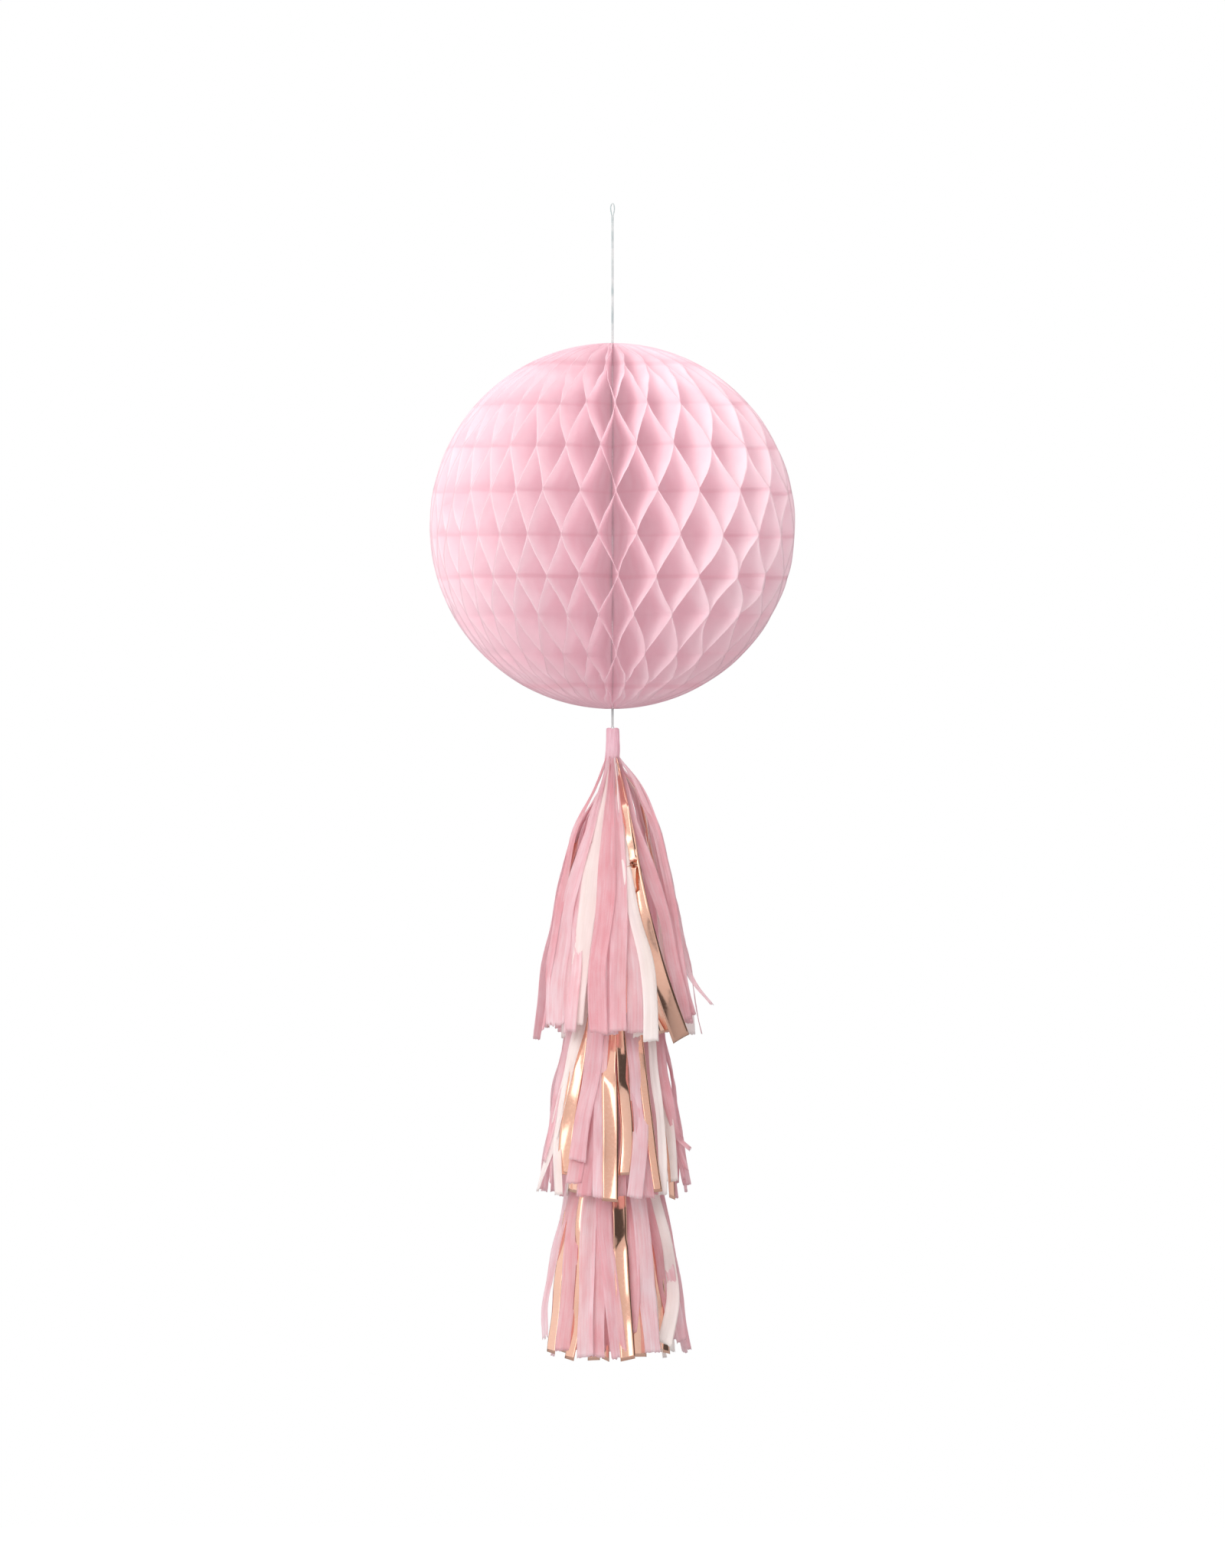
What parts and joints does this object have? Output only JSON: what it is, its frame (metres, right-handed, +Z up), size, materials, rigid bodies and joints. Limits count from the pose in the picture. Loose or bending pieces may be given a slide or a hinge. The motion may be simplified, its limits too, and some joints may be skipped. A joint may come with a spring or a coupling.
{
  "type": "paper honeycomb ball",
  "caption": "Hanging tissue-paper honeycomb ball on a doubled thread loop, with a tail of nested tassels cut from tissue and rose-gold foil strips.",
  "frame": {"origin": "where a hook bears, inside the top of the hanging loop", "axes": "+Z up along the thread and the ball's spine, -Y towards a viewer of the front, +X to that viewer's right"},
  "size_m": [0.2995, 0.2994, 0.948],
  "materials": {
    "pink_ball_tissue": "soft translucent tissue",
    "pink_strip_tissue": "creased translucent tissue",
    "ivory_tissue": "creased translucent tissue",
    "rose_gold_foil": "mirror-like metallised foil",
    "pink_card": "matt uncoated card",
    "white_thread": "twisted cotton",
    "adhesive_foam": "foam tab"
  },
  "bodies": {
    "loop_eye": {"hanging_loop_eye": "white_thread"},
    "thread": {"hanging_thread": "white_thread"},
    "top_knot": {"top_knot": "white_thread"},
    "ball": {"spine_thread": "white_thread", "fixed_card_board": "pink_card"},
    "opening_board": {"opening_card_board": "pink_card", "adhesive_tabs": "adhesive_foam"},
    "cells_01": {"tissue_cells_01": "pink_ball_tissue"},
    "cells_02": {"tissue_cells_02": "pink_ball_tissue"},
    "cells_03": {"tissue_cells_03": "pink_ball_tissue"},
    "cells_04": {"tissue_cells_04": "pink_ball_tissue"},
    "cells_05": {"tissue_cells_05": "pink_ball_tissue"},
    "cells_06": {"tissue_cells_06": "pink_ball_tissue"},
    "cells_07": {"tissue_cells_07": "pink_ball_tissue"},
    "cells_08": {"tissue_cells_08": "pink_ball_tissue"},
    "cells_09": {"tissue_cells_09": "pink_ball_tissue"},
    "cells_10": {"tissue_cells_10": "pink_ball_tissue"},
    "cells_11": {"tissue_cells_11": "pink_ball_tissue"},
    "cells_12": {"tissue_cells_12": "pink_ball_tissue"},
    "cells_13": {"tissue_cells_13": "pink_ball_tissue"},
    "cells_14": {"tissue_cells_14": "pink_ball_tissue"},
    "cells_15": {"tissue_cells_15": "pink_ball_tissue"},
    "cells_16": {"tissue_cells_16": "pink_ball_tissue"},
    "cells_17": {"tissue_cells_17": "pink_ball_tissue"},
    "cells_18": {"tissue_cells_18": "pink_ball_tissue"},
    "cells_19": {"tissue_cells_19": "pink_ball_tissue"},
    "cells_20": {"tissue_cells_20": "pink_ball_tissue"},
    "cells_21": {"tissue_cells_21": "pink_ball_tissue"},
    "cells_22": {"tissue_cells_22": "pink_ball_tissue"},
    "cells_23": {"tissue_cells_23": "pink_ball_tissue"},
    "cells_24": {"tissue_cells_24": "pink_ball_tissue"},
    "cells_25": {"tissue_cells_25": "pink_ball_tissue"},
    "cells_26": {"tissue_cells_26": "pink_ball_tissue"},
    "cells_27": {"tissue_cells_27": "pink_ball_tissue"},
    "cells_28": {"tissue_cells_28": "pink_ball_tissue"},
    "bottom_knot": {"bottom_knot": "white_thread"},
    "upper_link": {"upper_tassel_thread": "white_thread"},
    "upper_tassel": {"upper_tassel_neck": "pink_strip_tissue", "upper_tassel_tie": "white_thread", "upper_tassel_pink_strips": "pink_strip_tissue", "upper_tassel_ivory_strips": "ivory_tissue", "upper_tassel_foil_strips": "rose_gold_foil"},
    "middle_link": {"middle_tassel_thread": "white_thread"},
    "middle_tassel": {"middle_tassel_neck": "pink_strip_tissue", "middle_tassel_tie": "white_thread", "middle_tassel_pink_strips": "pink_strip_tissue", "middle_tassel_ivory_strips": "ivory_tissue", "middle_tassel_foil_strips": "rose_gold_foil"},
    "lower_link": {"lower_tassel_thread": "white_thread"},
    "lower_tassel": {"lower_tassel_neck": "pink_strip_tissue", "lower_tassel_tie": "white_thread", "lower_tassel_pink_strips": "pink_strip_tissue", "lower_tassel_ivory_strips": "ivory_tissue", "lower_tassel_foil_strips": "rose_gold_foil"}
  },
  "joints": [
    {"name": "thread_swing", "type": "hinge", "parent": "loop_eye", "child": "thread", "pos_m": [0, 0, -0.01], "axis": [0, 1, 0], "range_deg": [-35, 35]},
    {"name": "ball_tilt", "type": "hinge", "parent": "thread", "child": "top_knot", "pos_m": [0, 0, -0.117], "axis": [1, 0, 0], "range_deg": [-35, 35]},
    {"name": "ball_spin", "type": "hinge", "parent": "top_knot", "child": "ball", "pos_m": [0, 0, -0.117], "axis": [0, 0, 1], "continuous": true},
    {"name": "fan_fold", "type": "hinge", "parent": "ball", "child": "opening_board", "pos_m": [0, 0, -0.264], "axis": [0, 0, 1], "range_deg": [-349.2, 0], "deforming": ["tissue_cells_01", "tissue_cells_02", "tissue_cells_03", "tissue_cells_04", "tissue_cells_05", "tissue_cells_06", "tissue_cells_07", "tissue_cells_08", "tissue_cells_09", "tissue_cells_10", "tissue_cells_11", "tissue_cells_12", "tissue_cells_13", "tissue_cells_14", "tissue_cells_15", "tissue_cells_16", "tissue_cells_17", "tissue_cells_18", "tissue_cells_19", "tissue_cells_20", "tissue_cells_21", "tissue_cells_22", "tissue_cells_23", "tissue_cells_24", "tissue_cells_25", "tissue_cells_26", "tissue_cells_27", "tissue_cells_28"]},
    {"name": "cells_01_fold", "type": "hinge", "parent": "ball", "child": "cells_01", "pos_m": [0, 0, -0.264], "axis": [0, 0, 1], "range_deg": [-6.72, 0]},
    {"name": "cells_02_fold", "type": "hinge", "parent": "ball", "child": "cells_02", "pos_m": [0, 0, -0.264], "axis": [0, 0, 1], "range_deg": [-19.61, 0]},
    {"name": "cells_03_fold", "type": "hinge", "parent": "ball", "child": "cells_03", "pos_m": [0, 0, -0.264], "axis": [0, 0, 1], "range_deg": [-31.59, 0]},
    {"name": "cells_04_fold", "type": "hinge", "parent": "ball", "child": "cells_04", "pos_m": [0, 0, -0.264], "axis": [0, 0, 1], "range_deg": [-42.67, 0]},
    {"name": "cells_05_fold", "type": "hinge", "parent": "ball", "child": "cells_05", "pos_m": [0, 0, -0.264], "axis": [0, 0, 1], "range_deg": [-52.94, 0]},
    {"name": "cells_06_fold", "type": "hinge", "parent": "ball", "child": "cells_06", "pos_m": [0, 0, -0.264], "axis": [0, 0, 1], "range_deg": [-62.49, 0]},
    {"name": "cells_07_fold", "type": "hinge", "parent": "ball", "child": "cells_07", "pos_m": [0, 0, -0.264], "axis": [0, 0, 1], "range_deg": [-71.49, 0]},
    {"name": "cells_08_fold", "type": "hinge", "parent": "ball", "child": "cells_08", "pos_m": [0, 0, -0.264], "axis": [0, 0, 1], "range_deg": [-80.1, 0]},
    {"name": "cells_09_fold", "type": "hinge", "parent": "ball", "child": "cells_09", "pos_m": [0, 0, -0.264], "axis": [0, 0, 1], "range_deg": [-88.51, 0]},
    {"name": "cells_10_fold", "type": "hinge", "parent": "ball", "child": "cells_10", "pos_m": [0, 0, -0.264], "axis": [0, 0, 1], "range_deg": [-96.93, 0]},
    {"name": "cells_11_fold", "type": "hinge", "parent": "ball", "child": "cells_11", "pos_m": [0, 0, -0.264], "axis": [0, 0, 1], "range_deg": [-105.56, 0]},
    {"name": "cells_12_fold", "type": "hinge", "parent": "ball", "child": "cells_12", "pos_m": [0, 0, -0.264], "axis": [0, 0, 1], "range_deg": [-114.6, 0]},
    {"name": "cells_13_fold", "type": "hinge", "parent": "ball", "child": "cells_13", "pos_m": [0, 0, -0.264], "axis": [0, 0, 1], "range_deg": [-124.21, 0]},
    {"name": "cells_14_fold", "type": "hinge", "parent": "ball", "child": "cells_14", "pos_m": [0, 0, -0.264], "axis": [0, 0, 1], "range_deg": [-134.55, 0]},
    {"name": "cells_15_fold", "type": "hinge", "parent": "ball", "child": "cells_15", "pos_m": [0, 0, -0.264], "axis": [0, 0, 1], "range_deg": [-145.71, 0]},
    {"name": "cells_16_fold", "type": "hinge", "parent": "ball", "child": "cells_16", "pos_m": [0, 0, -0.264], "axis": [0, 0, 1], "range_deg": [-157.76, 0]},
    {"name": "cells_17_fold", "type": "hinge", "parent": "ball", "child": "cells_17", "pos_m": [0, 0, -0.264], "axis": [0, 0, 1], "range_deg": [-170.73, 0]},
    {"name": "cells_18_fold", "type": "hinge", "parent": "ball", "child": "cells_18", "pos_m": [0, 0, -0.264], "axis": [0, 0, 1], "range_deg": [-184.59, 0]},
    {"name": "cells_19_fold", "type": "hinge", "parent": "ball", "child": "cells_19", "pos_m": [0, 0, -0.264], "axis": [0, 0, 1], "range_deg": [-199.27, 0]},
    {"name": "cells_20_fold", "type": "hinge", "parent": "ball", "child": "cells_20", "pos_m": [0, 0, -0.264], "axis": [0, 0, 1], "range_deg": [-214.65, 0]},
    {"name": "cells_21_fold", "type": "hinge", "parent": "ball", "child": "cells_21", "pos_m": [0, 0, -0.264], "axis": [0, 0, 1], "range_deg": [-230.6, 0]},
    {"name": "cells_22_fold", "type": "hinge", "parent": "ball", "child": "cells_22", "pos_m": [0, 0, -0.264], "axis": [0, 0, 1], "range_deg": [-246.93, 0]},
    {"name": "cells_23_fold", "type": "hinge", "parent": "ball", "child": "cells_23", "pos_m": [0, 0, -0.264], "axis": [0, 0, 1], "range_deg": [-263.47, 0]},
    {"name": "cells_24_fold", "type": "hinge", "parent": "ball", "child": "cells_24", "pos_m": [0, 0, -0.264], "axis": [0, 0, 1], "range_deg": [-279.99, 0]},
    {"name": "cells_25_fold", "type": "hinge", "parent": "ball", "child": "cells_25", "pos_m": [0, 0, -0.264], "axis": [0, 0, 1], "range_deg": [-296.3, 0]},
    {"name": "cells_26_fold", "type": "hinge", "parent": "ball", "child": "cells_26", "pos_m": [0, 0, -0.264], "axis": [0, 0, 1], "range_deg": [-312.2, 0]},
    {"name": "cells_27_fold", "type": "hinge", "parent": "ball", "child": "cells_27", "pos_m": [0, 0, -0.264], "axis": [0, 0, 1], "range_deg": [-327.53, 0]},
    {"name": "cells_28_fold", "type": "hinge", "parent": "ball", "child": "cells_28", "pos_m": [0, 0, -0.264], "axis": [0, 0, 1], "range_deg": [-342.14, 0]},
    {"name": "tail_spin", "type": "hinge", "parent": "ball", "child": "bottom_knot", "pos_m": [0, 0, -0.411], "axis": [0, 0, 1], "continuous": true},
    {"name": "tail_swing", "type": "hinge", "parent": "bottom_knot", "child": "upper_link", "pos_m": [0, 0, -0.411], "axis": [1, 0, 0], "range_deg": [-40, 40]},
    {"name": "upper_tassel_tilt", "type": "hinge", "parent": "upper_link", "child": "upper_tassel", "pos_m": [0, 0, -0.429], "axis": [0, 1, 0], "range_deg": [-40, 40]},
    {"name": "middle_link_swing", "type": "hinge", "parent": "upper_tassel", "child": "middle_link", "pos_m": [0, 0, -0.4636], "axis": [1, 0, 0], "range_deg": [-5, 5]},
    {"name": "middle_tassel_tilt", "type": "hinge", "parent": "middle_link", "child": "middle_tassel", "pos_m": [0, 0, -0.559], "axis": [0, 1, 0], "range_deg": [-8, 8]},
    {"name": "lower_link_swing", "type": "hinge", "parent": "middle_tassel", "child": "lower_link", "pos_m": [0, 0, -0.5936], "axis": [1, 0, 0], "range_deg": [-5, 5]},
    {"name": "lower_tassel_tilt", "type": "hinge", "parent": "lower_link", "child": "lower_tassel", "pos_m": [0, 0, -0.689], "axis": [0, 1, 0], "range_deg": [-8, 8]}
  ],
  "couplings": [
    {"joint": "cells_01_fold", "follows": "fan_fold", "ratio": 0.01911},
    {"joint": "cells_02_fold", "follows": "fan_fold", "ratio": 0.05602},
    {"joint": "cells_03_fold", "follows": "fan_fold", "ratio": 0.09031},
    {"joint": "cells_04_fold", "follows": "fan_fold", "ratio": 0.12205},
    {"joint": "cells_05_fold", "follows": "fan_fold", "ratio": 0.15145},
    {"joint": "cells_06_fold", "follows": "fan_fold", "ratio": 0.17882},
    {"joint": "cells_07_fold", "follows": "fan_fold", "ratio": 0.20458},
    {"joint": "cells_08_fold", "follows": "fan_fold", "ratio": 0.22923},
    {"joint": "cells_09_fold", "follows": "fan_fold", "ratio": 0.25331},
    {"joint": "cells_10_fold", "follows": "fan_fold", "ratio": 0.27743},
    {"joint": "cells_11_fold", "follows": "fan_fold", "ratio": 0.30215},
    {"joint": "cells_12_fold", "follows": "fan_fold", "ratio": 0.32803},
    {"joint": "cells_13_fold", "follows": "fan_fold", "ratio": 0.35556},
    {"joint": "cells_14_fold", "follows": "fan_fold", "ratio": 0.38516},
    {"joint": "cells_15_fold", "follows": "fan_fold", "ratio": 0.41712},
    {"joint": "cells_16_fold", "follows": "fan_fold", "ratio": 0.45164},
    {"joint": "cells_17_fold", "follows": "fan_fold", "ratio": 0.48878},
    {"joint": "cells_18_fold", "follows": "fan_fold", "ratio": 0.52846},
    {"joint": "cells_19_fold", "follows": "fan_fold", "ratio": 0.57049},
    {"joint": "cells_20_fold", "follows": "fan_fold", "ratio": 0.61455},
    {"joint": "cells_21_fold", "follows": "fan_fold", "ratio": 0.66022},
    {"joint": "cells_22_fold", "follows": "fan_fold", "ratio": 0.707},
    {"joint": "cells_23_fold", "follows": "fan_fold", "ratio": 0.75434},
    {"joint": "cells_24_fold", "follows": "fan_fold", "ratio": 0.80166},
    {"joint": "cells_25_fold", "follows": "fan_fold", "ratio": 0.84837},
    {"joint": "cells_26_fold", "follows": "fan_fold", "ratio": 0.89391},
    {"joint": "cells_27_fold", "follows": "fan_fold", "ratio": 0.93781},
    {"joint": "cells_28_fold", "follows": "fan_fold", "ratio": 0.97964}
  ]
}
